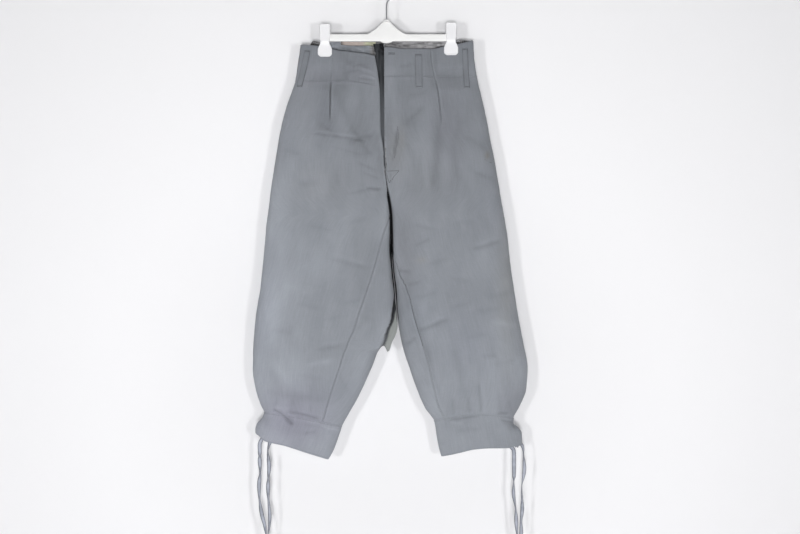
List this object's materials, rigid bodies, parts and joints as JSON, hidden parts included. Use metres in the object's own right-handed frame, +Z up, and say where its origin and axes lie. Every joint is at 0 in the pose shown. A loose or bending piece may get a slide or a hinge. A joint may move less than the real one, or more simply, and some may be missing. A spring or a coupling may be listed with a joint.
{
  "type": "military trousers on a clip hanger",
  "caption": "Grey-blue military trousers with a high waist, baggy legs and tie cuffs, hanging from a white plastic clip hanger with a wire hook.",
  "frame": {"origin": "inside crest of the hanger's hook, where a rail holds it", "axes": "+Z up, +X to the wearer's left, the front of the trousers faces -Y"},
  "size_m": [0.6299, 0.0696, 1.3504],
  "materials": {
    "cloth": "washed matt linen-cotton twill, grey-blue",
    "tape": "matt woven tape, grey-blue",
    "facing": "matt cotton drill, pale brown",
    "plastic": "smooth moulded white plastic",
    "button": "dull dark composition",
    "wire": "drawn steel wire, dulled"
  },
  "bodies": {
    "root": {"back_left": "cloth", "back_right": "cloth", "belt_loop_back": "cloth", "belt_loop_front_left": "cloth", "belt_loop_side_left": "cloth", "belt_loop_side_right": "cloth", "clip_left_back": "plastic", "clip_left_front": "plastic", "clip_right_back": "plastic", "clip_right_front": "plastic", "cuff_left": "cloth", "cuff_right": "cloth", "fly_underlap": "cloth", "front_left": "cloth", "front_right": "cloth", "hanger_bar": "plastic", "hanger_collar": "plastic", "hanger_hook": "wire", "knot_left": "tape", "knot_right": "tape", "tie_left_inner": "tape", "tie_left_inner_end": "tape", "tie_left_outer": "tape", "tie_left_outer_end": "tape", "tie_right_inner": "tape", "tie_right_inner_end": "tape", "tie_right_outer": "tape", "tie_right_outer_end": "tape", "waist_button": "button", "waist_facing": "facing", "waistband_back_left": "cloth", "waistband_back_right": "cloth", "waistband_front_left": "cloth", "waistband_front_right": "cloth"}
  },
  "joints": []
}
